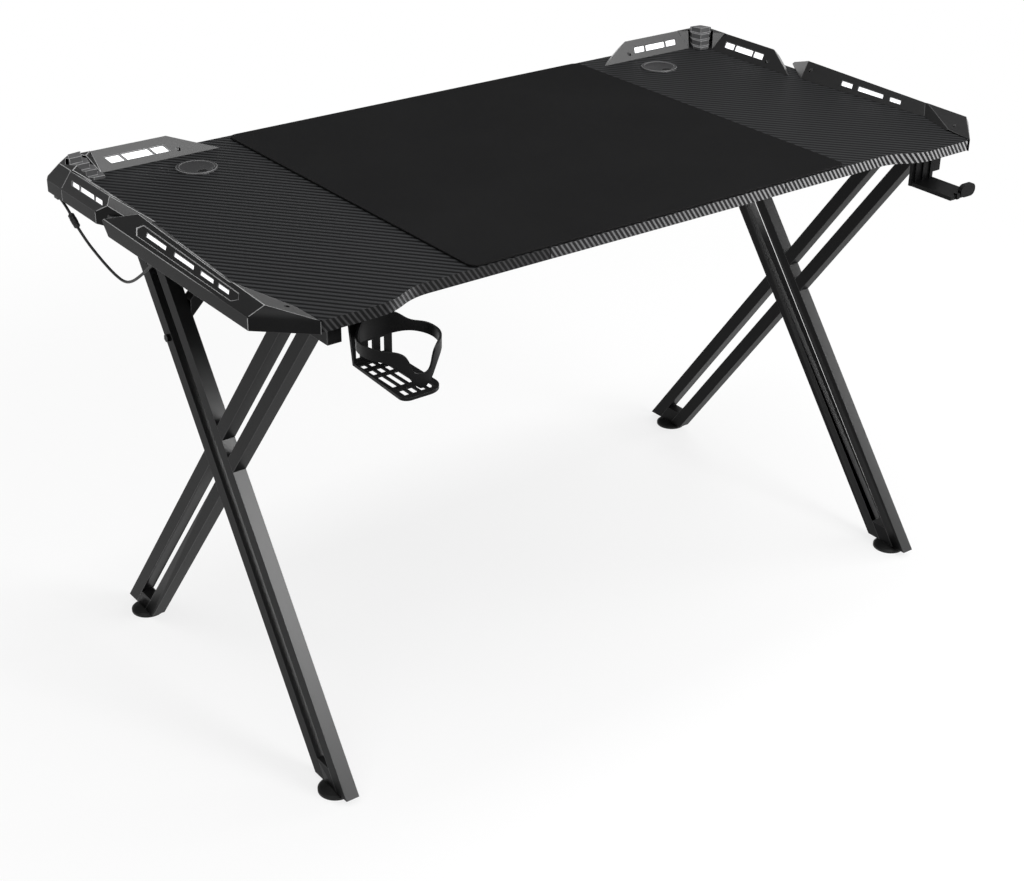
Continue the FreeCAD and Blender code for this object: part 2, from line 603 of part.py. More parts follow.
def wing(place):
    """The wing moulding; place turns (along, out, height) into the desk's frame."""
    width, ridge, rise = size("wing_width"), size("ridge_in"), size("ridge_rise")
    tip, ridge_end, end = size("wing_tip"), size("wing_ridge_end"), size("wing_end")
    chamfer = size("wing_chamfer")
    along = Vector(40, ridge, surface + 5)

    def make(depth):
        points = [
            ((0, 0, surface), (0, 1, surface), (0, 0, ridge_z), 1),
            ((0, 0, surface), (1, 0, surface), (0, ridge, ridge_z), 1),
            ((0, width, surface), (1, width, surface), (0, ridge, ridge_z), 1),
            ((0, width, 0), (1, width, 0), (0, width, 1), 1),
            ((tip, 0, surface), (ridge_end, ridge, ridge_z),
             (end, width - 3, surface + size("wing_end_rise")), 1),
            ((chamfer, width, 0), (chamfer + 26, width - 11, 0), (chamfer, width, 1), 1)]
        planes = [tuple(place(*point) for point in plane[:3]) + plane[3:] for plane in points]
        return carved(planes + [floor_plane], place(*along), depth)

    def inner_face(s, share):
        return place(s, share * ridge, surface + share * rise)

    def outer_face(s, share):
        return place(s, width - share * (width - ridge), surface + share * rise)

    slant = size("window_lean")
    cuts = []
    for start, stop in STATIONS.values():
        for face, kind in ((inner_face, "window"), (outer_face, "slit")):
            low, high = size(kind + "_low"), size(kind + "_high")
            cuts.append(opening([face(start + slant, low), face(stop + slant, low), face(stop, high),
                                 face(start, high)], wall + 0.6))
    first, last = STATIONS["short"][0] - 5, STATIONS["last"][1] + 10
    lens_corners = [place(first, 3, surface + 3), place(last, width - 3, ridge_z)]
    lens_box = bounding_block(lens_corners)
    hole = place(size("wing_tip * 0.668"), size("boss"), 0)
    return moulding(make, [(hole.x, hole.y)], cuts, lens_box)


def bounding_block(corners):
    low = Vector(*[min(getattr(c, axis) for c in corners) for axis in ("x", "y", "z")])
    high = Vector(*[max(getattr(c, axis) for c in corners) for axis in ("x", "y", "z")])
    return Part.makeBox(high.x - low.x, high.y - low.y, high.z - low.z, low)


def side_place(s, u, z):
    return Vector(size("side_line") + u, size("side_root") - s, z)


def rear_place(s, u, z):
    return Vector(size("rear_root") - s, size("rear_line") + u, z)


for stem, place in (("side_wing", side_place), ("rear_wing", rear_place)):
    shell, lens = wing(place)
    pair(feature(stem, shell), stem)
    pair(feature(stem + "_lens", lens), stem + "_lens")

# Corner shell, cut away around the stepped cap
angle = math.radians(size("cap_angle"))
cap_way = Vector(math.cos(angle), math.sin(angle), 0)
cap_across = Vector(-cap_way.y, cap_way.x, 0)
cap_start = Vector(size("cap_x"), size("cap_y"), surface)


def cap_prism(plan, height):
    corners = [cap_start + cap_way * along + cap_across * across for along, across in plan]
    return Part.Face(Part.makePolygon(corners + corners[:1])).extrude(Vector(0, 0, height))


def corner_solid(depth):
    x, y = size("side_line"), size("rear_line")
    root_x, root_y, width = size("rear_root"), size("side_root"), size("wing_width")
    ridge, chamfer = size("ridge_in"), size("corner_chamfer")
    across = Vector(y - root_y, x - root_x, 0).normalize()
    top, edge = surface + size("corner_top"), surface + size("corner_edge")
    crest = cap_start + cap_way * size("cap_length") + Vector(0, 0, size("cap_first + 3 * cap_rise"))
    planes = [
        upright(x, root_y, x + 1, root_y), upright(root_x, y, root_x, y + 1),
        upright(x + width, 0, x + width, 1), upright(0, y + width, 1, y + width),
        upright(x + width, y + width - chamfer, x + width - chamfer, y + width),
        (Vector(x + width, y + width - chamfer, edge), Vector(x + width - chamfer, y + width, edge),
         crest, 1),
        (Vector(x + width, 0, surface), Vector(x + width, 1, surface), Vector(x + ridge, 0, ridge_z), 1),
        (Vector(0, y + width, surface), Vector(1, y + width, surface), Vector(0, y + ridge, ridge_z), 1),
        (Vector(x, root_y, surface), Vector(root_x, y, surface),
         Vector(x, root_y, surface) + across * 30 + Vector(0, 0, 30 * size("corner_steepness")), 1),
        (Vector(0, 0, top), Vector(1, 0, top), Vector(0, 1, top), 1), floor_plane]
    return carved(planes, Vector(x + ridge, y + ridge - 10, surface + 5), depth)


half_front, half_back, point = size("cap_front / 2"), size("cap_back / 2"), size("cap_point")
length, gap = size("cap_length"), size("cap_gap")
recess = cap_prism([(-40, half_front + gap), (length - point + gap, half_back + gap), (length + gap, 0),
                    (length - point + gap, -half_back - gap), (-40, -half_front - gap)], 100)
shell, _ = moulding(corner_solid, [], [recess], None)
pair(feature("corner_shell", shell), "corner_shell")
cap = None
for step in range(4):
    start = step * (length - point) / 4
    half = half_front + (half_back - half_front) * start / length
    block = cap_prism([(start, 0), (start + point, half), (length - point, half_back), (length, 0),
                       (length - point, -half_back), (start + point, -half)],
                      size("cap_first") + step * size("cap_rise"))
    cap = cap.fuse(block) if cap else block
pair(feature("corner_cap", cap.removeSplitter()), "corner_cap")

# Front mouldings: a long tapering ridge and a broad nose that wraps the front corner
edge_x = size("front_skirt")


def spot(x, y, rise=0.0):
    return Vector(size(x), size(y), surface + rise)


tail = spot("side_edge - 36", "tail_y")
tail_top = spot("side_edge - 8", "tail_y + 12", size("ridge_rise"))
tail_out = spot("front_skirt", "tail_y + 73")
tail_low = spot("front_skirt", "tail_y + 57", -size("skirt_drop"))
waist = spot("side_edge - 20", "118 - wing_edge")
waist_top = spot("side_edge - 3.5", "128 - wing_edge", 16.6)
shoulder = spot("side_edge - 42.4", "57 - wing_edge")
nose_top = spot("side_edge - 2", "50 - wing_edge", 15)
nose_in = spot("nose_inner", "-wing_edge")
nose_out = spot("front_skirt", "-nose_outer")


def down(share):
    """A place in y on the way from the tail to the waist."""
    return tail.y + (waist.y - tail.y) * share


def front_solid(depth):
    skirt = upright(edge_x, 0, edge_x, 1)
    outside = (tail_top, nose_top, nose_out, 1)
    long_part = [(tail, waist, tail_top, 1), outside, skirt, floor_plane, (tail_top, tail_out, tail, 1),
                 (tail, tail_out, tail_low, 1),
                 upright(0, waist.y - 14, 1, waist.y - 14, 0)]
    nose = [(nose_top, nose_in, waist_top, 1), (waist, waist_top, shoulder, 1), outside, skirt, floor_plane,
            (nose_top, nose_out, nose_in, 1), upright(nose_in.x, nose_in.y, nose_out.x, nose_out.y),
            upright(shoulder.x, shoulder.y, nose_in.x, nose_in.y),
            upright(0, waist.y + 50, 1, waist.y + 50, 0)]
    return carved(long_part, Vector(size("side_edge"), down(0.42), surface + 5), depth).fuse(
        carved(nose, spot("side_edge - 6", "72 - wing_edge", 4), depth))


def on_ridge(y):
    share = (tail_top.y - y) / (tail_top.y - nose_top.y)
    return tail_top + (nose_top - tail_top) * share


def front_inner(y, share):
    foot = tail + (waist - tail) * ((tail.y - y) / (tail.y - waist.y))
    normal = (waist - tail).cross(tail_top - tail).normalize()
    point = foot + (on_ridge(y) - foot) * share
    return point - normal * normal.dot(point - tail)


def front_outer(y, share):
    normal = (nose_top - tail_top).cross(nose_out - tail_top)
    foot = Vector(edge_x, y, surface - normal.y * (y - nose_out.y) / normal.z)
    return foot + (on_ridge(y) - foot) * share


cuts = []
lean_in = size("window_lean") * 0.7
for first, last in ((0.29, 0.378), (0.428, 0.63), (0.686, 0.772)):
    start, stop = down(first), down(last)
    cuts.append(opening([front_inner(start - lean_in, 0.34), front_inner(stop - lean_in, 0.34),
                         front_inner(stop, 0.62), front_inner(start, 0.62)], wall + 0.6))
for first, last in ((0.145, 0.334), (0.444, 0.624), (0.716, 0.822), (0.893, 0.974)):
    start, stop = down(first), down(last)
    cuts.append(opening([front_outer(start, 0.42), front_outer(stop - lean_in, 0.42),
                         front_outer(stop, 0.57), front_outer(start + lean_in, 0.57)], wall + 0.6))
frame_corners = ((0.031, 0.48), (0.077, 0.22), (1.043, 0.22), (1.081, 0.46), (1.051, 0.72), (0.062, 0.74))
cuts.append(opening([front_outer(down(way), rise) for way, rise in frame_corners], size("recess_depth")))
lens_box = bounding_block([Vector(tail.x - 2, down(1.045), surface + 3),
                           Vector(edge_x, down(0.054), ridge_z)])
shell, lens = moulding(front_solid, [(size(x), size(y)) for x, y in FAIRING_SCREWS[2:]], cuts, lens_box)
pair(feature("front_fairing", shell), "front_fairing")
pair(feature("front_fairing_lens", lens), "front_fairing_lens")

screws = []
for index, (x, y) in enumerate(FAIRING_SCREWS):
    head = rod(f"fairing_screw_head_{index}", "screw_head", "screw_head_height", x, y,
               "top_height + boss_floor")
    shank = rod(f"fairing_screw_shank_{index}", "screw_shank", "boss_floor + screw_bite - 1", x, y,
                "top_height - screw_bite + 1")
    screws.append(fused(f"fairing_screw_{index}", [head, shank]))
both_sides("fairing_screws", screws)
LED_Z = ("top_height", "top_height + led_thickness")
both_sides("led_strips", [
    box("led_side", ("side_line + led_in", "side_line + led_in + led_width"),
        ("side_root - wing_tip * 0.58", "side_root - 12"), LED_Z),
    box("led_rear", ("rear_root - wing_tip * 0.58", "rear_root - 12"),
        ("rear_line + led_in", "rear_line + led_in + led_width"), LED_Z),
    box("led_front", ("side_edge - 10.2", "side_edge - 10.2 + led_width"),
        ("136 - wing_edge", "tail_y - 24"), LED_Z)])

# Cup holder under the left front
holder = body("holder")
LEFT, RIGHT = "-holder_x - holder_width / 2", "holder_width / 2 - holder_x"
HEEL = f"{LEFT} + holder_taper"
tray = pad(holder, sketch(holder, "XY", [[
    (HEEL, "-bracket_back"), (RIGHT, "-bracket_back"), (RIGHT, "-holder_reach"),
    (LEFT, "-holder_reach")]], offset="holder_floor"), "holder_wall")
middle_x, front_y = -size("holder_x"), -size("bracket_back + holder_depth / 2")
tray = rounded(holder, tray, "holder_corner_left",
               lambda at, way: abs(way.z) > 0.9 and at.y < front_y and at.x < middle_x)
rounded(holder, tray, "holder_corner_right",
        lambda at, way: abs(way.z) > 0.9 and at.y < front_y and at.x > middle_x)
pad(holder, sketch(holder, "XZ", [[(HEEL, "holder_floor"), (RIGHT, "holder_floor"), (RIGHT, "underside"),
                                   (LEFT, "underside")]], offset="bracket_back"), "holder_wall")
pocket(holder, sketch(holder, "XY", [[
    (f"{HEEL} + holder_rim", "-bracket_back - 2 * holder_rim"),
    (f"{RIGHT} - holder_rim", "-bracket_back - 2 * holder_rim"),
    (f"{RIGHT} - holder_rim", "holder_corner_right - holder_reach"),
    (f"{RIGHT} - holder_corner_right", "holder_rim - holder_reach"),
    (f"{LEFT} + holder_corner_left", "holder_rim - holder_reach"),
    (f"{LEFT} + holder_rim", "holder_corner_left - holder_reach")]], offset="holder_floor"),
    "holder_wall - holder_web", forward=True)
pad(holder, sketch(holder, "XY", [rectangle(LEFT, RIGHT, "-bracket_back - holder_wall",
                                            "holder_flange - bracket_back")]
                   + [hexagon(f"-({x})", y, "pilot") for x, y in HOLDER_SCREWS],
                   offset="underside - holder_wall"), "holder_wall")
FIRST_SLOT = "-holder_x - 1.5 - holder_slot_pitch * 1.5 - holder_slot / 2"
slots = pocket(holder, sketch(holder, "XY", [
    rectangle(FIRST_SLOT, f"{FIRST_SLOT} + holder_slot", f"-bracket_back - holder_depth * {far}",
              f"-bracket_back - holder_depth * {near}")
    for near, far in ((0.106, 0.188), (0.253, 0.367), (0.424, 0.71), (0.8, 0.922))], offset="base_top"),
    "holder_wall")
row_of(holder, slots, "holder_slot_pitch", 4)
FIRST_BACK = "-holder_x - back_slot_pitch - holder_slot / 2"
back_slot = pocket(holder, sketch(holder, "XZ", [
    rectangle(FIRST_BACK, f"{FIRST_BACK} + holder_slot", "base_top + holder_wall",
              "base_top + holder_wall + back_slot_height")],
    offset="bracket_back + holder_wall"), "holder_wall")
row_of(holder, back_slot, "back_slot_pitch", 3)
node(holder, "cup_holder_base")

# The ring is a hoop that dips to the base in front and rises at the bracket. Each row gives an angle from
# the front and the lower and upper rim there, as shares of the height between base and desktop.
RING_WAVE = (
    (0, 0, 0.29), (13, 0.11, 0.35), (19, 0.215, 0.55), (25, 0.33, 0.69), (35, 0.46, 0.76), (50, 0.54, 0.775),
    (70, 0.545, 0.775), (90, 0.545, 0.77), (110, 0.54, 0.76), (132, 0.525, 0.755), (148, 0.49, 0.875),
    (162, 0.46, 0.935), (180, 0.455, 0.95))
base_top, ring_room = size("base_top"), size("underside - base_top")
ring_middle = Vector(-size("ring_x"), -size("ring_y"), base_top)


def rim(radius, column):
    """One closed edge of the hoop."""
    rows = list(RING_WAVE) + [(-row[0],) + row[1:] for row in RING_WAVE[-2:0:-1]]
    points = []
    for row in rows:
        turn = math.radians(row[0])
        points.append(ring_middle + Vector(radius * math.sin(turn), -radius * math.cos(turn),
                                           ring_room * row[column]))
    curve = Part.BSplineCurve()
    curve.interpolate(points, True)
    return curve.toShape()


ring_radius, ring_wall = size("ring_outer / 2"), size("ring_wall")


def under_rim(column):
    """A block below one rim, wider than the hoop's wall."""
    band = Part.makeRuledSurface(rim(ring_radius - 8, column), rim(ring_radius + 6, column))
    return band.extrude(Vector(0, 0, -120))


def ring_core(radius):
    return Part.makeCylinder(radius, 200, ring_middle - Vector(0, 0, 60))


hoop = ring_core(ring_radius).cut(ring_core(ring_radius - ring_wall)).common(under_rim(2)).cut(under_rim(1))
above_base = Part.makeBox(400, 400, 200, ring_middle - Vector(200, 200, 0))
half_pad = size("ring_pad / 2")
pad_corner = ring_middle + Vector(-half_pad, ring_radius - 6, ring_room * 0.6)
ring_pad = Part.makeBox(2 * half_pad, 6, 14, pad_corner)
ring = hoop.common(above_base).fuse(ring_pad.cut(ring_core(ring_radius - ring_wall / 2))).removeSplitter()
node(feature("cup_ring", ring), "cup_holder_ring")
node(group("cup_screws", [screw_up(f"cup_screw_{index}", f"-({x})", y, "underside - holder_wall")
                          for index, (x, y) in enumerate(HOLDER_SCREWS)]), "cup_holder_screws")

# Headphone hook under the right front: the lip at the end of its arm stands to the right of a small nub
hook = body("hook")


def hook_span(width, aside="0"):
    return f"hook_x + {aside} - {width} / 2", f"hook_x + {aside} + {width} / 2"


lip = pad(hook, sketch(hook, "XZ", [rectangle(*hook_span("hook_tip", "hook_tip_aside"), "hook_floor",
                                              "hook_floor + hook_tip_rise")],
                       offset="hook_reach - hook_tip_thickness"), "hook_tip_thickness")
rounded(hook, lip, "hook_tip_corner", lambda at, way: abs(way.y) > 0.9)
pad(hook, sketch(hook, "XZ", [rectangle(*hook_span("hook_width"), "hook_floor", "underside")],
                 offset="bracket_back"), "hook_wall")
pad(hook, sketch(hook, "XY", [rectangle(*hook_span("hook_arm"), "hook_tip_thickness * 0.3 - hook_reach",
                                        "-bracket_back")], offset="hook_floor"), "hook_arm_thickness")
NUB = "hook_x + hook_tip_aside - hook_tip / 2 - hook_nub_gap"
pad(hook, sketch(hook, "XZ", [rectangle(f"{NUB} - hook_nub", NUB, "hook_floor",
                                        "hook_floor + hook_nub_rise")],
                 offset="hook_reach - hook_tip_thickness"), "hook_tip_thickness")
rib = pad(hook, sketch(hook, "XZ", [rectangle("hook_x - hook_rib_pitch - hook_rib / 2",
                                              "hook_x - hook_rib_pitch + hook_rib / 2",
                                              "hook_floor + hook_wall", "underside - hook_wall")],
                       offset="bracket_back + hook_wall"), "hook_rib_depth")
row_of(hook, rib, "hook_rib_pitch", 3)
pad(hook, sketch(hook, "XY", [rectangle("hook_x - hook_width / 2", "hook_x + hook_width / 4",
                                        "-bracket_back - hook_wall", "hook_flange - bracket_back")]
                 + [hexagon(x, y, "pilot") for x, y in HOOK_SCREWS],
                 offset="underside - hook_wall"), "hook_wall")
node(hook, "headphone_hook")
node(group("hook_screw_pair", [screw_up(f"hook_screw_{index}", x, y, "underside - hook_wall")
                               for index, (x, y) in enumerate(HOOK_SCREWS)]), "hook_screws")


# Lamp cord on the left: out of the corner, through an inline connector and back up under the front moulding
def cord_tube(route):
    """A round cord along straight runs joined by tangent arcs."""
    edges = []
    start = route[0]
    for before, corner, after in zip(route, route[1:], route[2:]):
        back, ahead = (before - corner), (after - corner)
        half_turn = (math.pi - back.getAngle(ahead)) / 2
        trim = 0.45 * min(back.Length, ahead.Length)
        into, out = corner + back.normalize() * trim, corner + ahead.normalize() * trim
        bend = trim / math.tan(half_turn)
        hub = corner + (back + ahead).normalize() * (bend / math.cos(half_turn))
        edges.append(Part.LineSegment(start, into).toShape())
        edges.append(Part.Arc(into, hub + (corner - hub).normalize() * bend, out).toShape())
        start = out
    edges.append(Part.LineSegment(start, route[-1]).toShape())
    path = Part.Wire(edges)
    circle = Part.Circle(route[0], route[1] - route[0], size("cord / 2"))
    return path.makePipeShell([Part.Wire(circle.toShape())], True, True)


gap_x = -(size("side_edge") + size("side_line + wing_width - shell_wall")) / 2
end_x = -(size("side_edge") + edge_x - wall) / 2
outlet = Vector(gap_x, size("cord_out"), skirt_end - 1)
upper_route = [outlet, outlet + Vector(0, -20, -5), outlet + Vector(0, -37, -16)]
axis = (upper_route[-1] - upper_route[-2]).normalize()
joint_end = upper_route[-1] + axis * size("connector_length")
DROPS = ((83, 41), (110, 49), (138, 56), (170, 62), (201, 63), (228, 52), (255, 34), (280, 16), (300, -1))
lower_route = [joint_end]
for index, (forward, drop) in enumerate(DROPS, 1):
    lower_route.append(outlet + Vector((end_x - gap_x) * index / len(DROPS), -forward, -drop))
node(feature("cord_upper", cord_tube(upper_route)), "cord_upper")
node(feature("cord_lower", cord_tube(lower_route)), "cord_lower")
grip = size("connector / 2")
halves = []
for start in (0, size("connector_length / 2")):
    foot = upper_route[-1] + axis * start
    half = Part.makeCylinder(grip, size("connector_length / 2"), foot, axis)
    waist_ring = Part.makeCylinder(grip + 1, 3, foot + axis * 5, axis)
    halves.append(half.cut(waist_ring.cut(Part.makeCylinder(grip - 1, 3, foot + axis * 5, axis))))
node(feature("cord_connector", Part.makeCompound(halves)), "cord_connector")
GLAND_LOW = "top_height - skirt_drop - 5"
GLAND_Z = (GLAND_LOW, f"{GLAND_LOW} + gland_height")
glands = [box(f"gland_{index}", (inside, "-side_edge"),
              (f"{y} - gland_length / 2", f"{y} + gland_length / 2"), GLAND_Z)
          for index, (inside, y) in enumerate((("-side_line - wing_width + shell_wall", "cord_out"),
                                               ("shell_wall - front_skirt", "cord_out - 300")))]
node(group("cord_glands", glands), "cord_glands")

document.recompute()
for item in document.Objects:
    if {"Invalid", "Error"} & set(item.State):
        raise RuntimeError(f"{item.Name}: {item.State}")
os.makedirs("parts", exist_ok=True)
for item in nodes:
    shape = item.Shape
    if shape.isNull() or not shape.isValid() or not shape.Solids:
        raise RuntimeError(f"{item.Label}: no valid solid")
    shape.exportStep(f"parts/{item.Label}.step")
    extent = shape.BoundBox
    print(f"{item.Label}: {len(shape.Solids)} solids, {shape.Volume / 1000:.1f} cm3, "
          f"x {extent.XMin:.1f} {extent.XMax:.1f} y {extent.YMin:.1f} {extent.YMax:.1f} "
          f"z {extent.ZMin:.1f} {extent.ZMax:.1f}")
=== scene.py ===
import bpy
import json
import math
from mathutils import Matrix, Vector


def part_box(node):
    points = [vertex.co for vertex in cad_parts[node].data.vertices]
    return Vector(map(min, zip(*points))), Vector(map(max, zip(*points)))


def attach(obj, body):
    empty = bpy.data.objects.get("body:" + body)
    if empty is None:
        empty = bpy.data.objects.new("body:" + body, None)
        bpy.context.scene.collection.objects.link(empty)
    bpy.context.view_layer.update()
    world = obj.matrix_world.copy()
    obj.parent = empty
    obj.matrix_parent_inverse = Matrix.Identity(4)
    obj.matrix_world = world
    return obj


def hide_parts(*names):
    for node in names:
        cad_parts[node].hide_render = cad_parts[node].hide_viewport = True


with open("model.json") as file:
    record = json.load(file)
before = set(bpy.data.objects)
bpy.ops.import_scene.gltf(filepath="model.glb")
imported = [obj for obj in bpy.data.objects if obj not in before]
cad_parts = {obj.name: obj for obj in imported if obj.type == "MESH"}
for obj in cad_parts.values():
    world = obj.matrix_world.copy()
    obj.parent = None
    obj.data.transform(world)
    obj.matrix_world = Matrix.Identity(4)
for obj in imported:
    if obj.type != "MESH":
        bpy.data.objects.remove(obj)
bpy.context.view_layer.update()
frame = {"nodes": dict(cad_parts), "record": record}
nodes = frame["nodes"]
SLOTS = {part["node"]: part["material_slot"] for part in frame["record"]["subparts"]}
SEAM, _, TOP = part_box("desktop_panel_centre")[1]
DESK = "desk"

# Patterns: pitches and depths in metres, and the direction across the ribs, at 40 degrees
RIB_PITCH = 0.011
RIB_THREAD_PITCH = 0.0021
RIB_X, RIB_Y = 0.766, 0.643
STRIPE_PITCH = 0.0079
STRIPE_SLANT = 0.71
WEAVE_PITCH = 0.0013
STITCH_PITCH = 0.0016
LAMP_PITCH = 0.0167
GRAIN_DEPTH = 0.00012

# Edges: what counts as one point, and as a flat, sharp or smooth edge
WELD = 0.00002
FLAT = math.radians(0.6)
SHARP = math.radians(22)
SMOOTH = math.radians(35)


# Finishes
class Wire:
    """An output socket that can be used in sums, products and comparisons."""

    def __init__(self, finish, socket):
        self.finish = finish
        self.socket = socket

    def maths(self, operation, *values):
        inputs = dict(enumerate(values))
        return self.finish.node("Math", {"operation": operation}, inputs)

    def __add__(self, other):
        return self.maths("ADD", self, other)

    def __radd__(self, other):
        return self.maths("ADD", other, self)

    def __sub__(self, other):
        return self.maths("SUBTRACT", self, other)

    def __rsub__(self, other):
        return self.maths("SUBTRACT", other, self)

    def __mul__(self, other):
        return self.maths("MULTIPLY", self, other)

    def __truediv__(self, other):
        return self.maths("DIVIDE", self, other)

    def __gt__(self, other):
        return self.maths("GREATER_THAN", self, other)

    def __pow__(self, other):
        return self.maths("POWER", self, other)

    def __abs__(self):
        return self.maths("ABSOLUTE", self)

    def wave(self):
        """A sine of the value, from 0 to 1."""
        return self.maths("SINE", self * math.tau) * 0.5 + 0.5

    def at_least(self, least):
        return self.maths("MAXIMUM", self, least)

    def between(self, low, high):
        """0 below low, 1 above high, smooth between."""
        return self.finish.node("MapRange", {"interpolation_type": "SMOOTHSTEP"},
                                {"Value": self, "From Min": low, "From Max": high}, "Result")


class Finish:
    """A material, or a world, that is built from nodes."""

    def __init__(self, name, store=bpy.data.materials):
        self.material = store.new(name)
        self.material.use_nodes = True
        self.tree = self.material.node_tree
        self.tree.nodes.clear()
        self.place = self.node("TexCoord", output="Object")

    def node(self, kind, settings=None, inputs=None, output=0):
        made = self.tree.nodes.new("ShaderNode" + kind)
        for name, value in (settings or {}).items():
            setattr(made, name, value)
        for name, value in (inputs or {}).items():
            if isinstance(value, Wire):
                self.tree.links.new(value.socket, made.inputs[name])
            else:
                made.inputs[name].default_value = value
        return Wire(self, made.outputs[output]) if made.outputs else None

    def axes(self, vector=None):
        """The three parts of a vector, of the object's own coordinates by default."""
        return [self.node("SeparateXYZ", None, {0: vector or self.place}, axis) for axis in "XYZ"]

    def facing(self):
        return self.axes(self.node("NewGeometry", output="Normal"))

    def gloss(self, weight):
        """More gloss on faces that look up than on upright ones."""
        return self.facing()[2].between(0.08, 0.3) * weight

    def noise(self, scale, detail=3.0, roughness=0.55):
        return self.node("TexNoise", None, {"Vector": self.place, "Scale": scale, "Detail": detail,
                                            "Roughness": roughness}, "Fac")

    def mixed(self, share, first, second):
        """A colour between two colours."""
        sockets = {0: share}
        for name, value in ((6, first), (7, second)):
            sockets[name] = value if isinstance(value, Wire) else (*value, 1)
        return self.node("Mix", {"data_type": "RGBA"}, sockets, 2)

    def bump(self, height, depth, strength):
        return self.node("Bump", None, {"Strength": strength, "Distance": depth, "Height": height})

    def surface(self, colour, roughness, normal=None, **constants):
        inputs = {"Base Color": colour if isinstance(colour, Wire) else (*colour, 1), "Roughness": roughness}
        if normal:
            inputs["Normal"] = normal
        for name, value in constants.items():
            inputs[name.replace("_", " ")] = value
        shader = self.node("BsdfPrincipled", None, inputs)
        self.node("OutputMaterial", None, {"Surface": shader})
        return self.material


def laminate():
    """Dark foil, slanting carbon ribs on top, and a striped edge with a painted reflection, dim on the left
    panel.
    """
    finish = Finish("carbon_laminate")
    x, y, z = finish.axes()
    aside, _, up = finish.facing()
    grain = finish.noise(420, 4)
    cloud = finish.noise(5, 2)
    rib = ((x * RIB_X + y * RIB_Y) / RIB_PITCH + grain * 0.06).wave()
    thread = ((x * RIB_Y - y * RIB_X) / RIB_THREAD_PITCH).wave()
    ridge = rib.between(0.2, 0.8)
    top = finish.mixed(ridge, (0.0016, 0.0017, 0.002), (0.031, 0.0317, 0.0331))
    top = finish.mixed(thread * 0.2 * ridge, top, (0.0115, 0.0118, 0.0126))
    top = finish.mixed(cloud.between(0.35, 0.8) * 0.06, top, (0.019, 0.0192, 0.0198))
    run = x + (y - x) * abs(aside).between(0.75, 0.85)
    band = ((run + z * STRIPE_SLANT) / STRIPE_PITCH).wave()
    stripe = band.between(0.4, 0.9)
    # The pale stripes are the band's pattern; their brightening from left to right is a painted reflection.
    light = finish.mixed(x.between(-0.25, 0.45), (0.13, 0.13, 0.133), (0.34, 0.34, 0.343))
    # The left panel's edge, with its painted reflection dimmed.
    painted_dim_edge = finish.mixed(stripe, (0.004, 0.004, 0.0043), (0.04, 0.04, 0.041))
    edge = finish.mixed(stripe, (0.012, 0.012, 0.0126), light)
    # Left of the left seam the edge takes the painted dim reflection, except where it turns to face right.
    past_seam = x.between(-SEAM - 0.0005, -SEAM + 0.0005)
    looks_right = aside.between(0.1, 0.4)
    edge = finish.mixed(past_seam + (1 - past_seam) * looks_right, painted_dim_edge, edge)
    # A dark line at the panel joints: painted shade of the V-groove between the panels.
    off_joint = abs(abs(x) - SEAM).between(0.0005, 0.0012)
    edge = finish.mixed(off_joint, (0.002, 0.002, 0.0021), edge)
    edge = finish.mixed(grain * 0.2, edge, (0.015, 0.015, 0.0155))
    flat = abs(up).between(0.55, 0.8)
    height = rib * flat * 0.7 + band * (1 - flat) * 0.5 + grain * 0.12
    return finish.surface(finish.mixed(flat, edge, top), 0.52 - ridge * 0.08 - (1 - flat) * 0.12,
                          finish.bump(height, 0.0005, 0.5), Specular_IOR_Level=0.12)


def moulded(name, colour, light, roughness, specular, gloss=0.0):
    """Fine-grained moulded plastic, a little uneven and paler in worn patches."""
    finish = Finish(name)
    pits = finish.noise(1500, 2, 0.5)
    cloud = finish.noise(9, 3)
    worn = finish.noise(60, 5, 0.6).between(0.55, 0.8) * 0.35
    shade = finish.mixed(cloud.between(0.3, 0.75) * 0.5 + worn, colour, light)
    return finish.surface(shade, roughness - 0.08 + cloud * 0.12 + pits * 0.05,
                          finish.bump(pits, GRAIN_DEPTH, 0.35), Specular_IOR_Level=specular,
                          Coat_Weight=finish.gloss(gloss), Coat_Roughness=roughness)


def edge_highlight(name, dark, light, right=1.0):
    """A painted highlight along an edge, a little uneven, but not where it looks down or meets the top.

    right is how much of this is left at the right end.
    """
    finish = Finish(name)
    pits = finish.noise(1500, 2, 0.5)
    highlight_unevenness = finish.noise(60, 5, 0.6)
    _, _, up = finish.facing()
    x, _, z = finish.axes()
    off_top = abs(z - TOP).between(0.0009, 0.0014)
    looks_up = up.between(-0.2, 0.0)
    # Painted highlight: pale on edges that look up, with less of it towards the right end.
    painted_highlight = off_top * looks_up * (1 - x.between(0.2, 0.5) * (1 - right))
    shade = finish.mixed(painted_highlight * (0.6 + highlight_unevenness * 0.4), dark, light)
    return finish.surface(shade, 0.34 + pits * 0.1, finish.bump(pits, GRAIN_DEPTH, 0.35),
                          Specular_IOR_Level=0.3)


def powder_coat():
    """Satin black paint on steel tube, with the skin of an orange."""
    finish = Finish("satin_powder_coat")
    peel = finish.noise(520, 3)
    cloud = finish.noise(7, 3)
    shade = finish.mixed(cloud.between(0.3, 0.8) * 0.6, (0.0055, 0.0055, 0.0058), (0.0085, 0.0085, 0.0088))
    return finish.surface(shade, 0.34 + peel * 0.1, finish.bump(peel, 0.00015, 0.4), Specular_IOR_Level=0.07,
                          Coat_Weight=finish.gloss(1.0), Coat_Roughness=0.38)


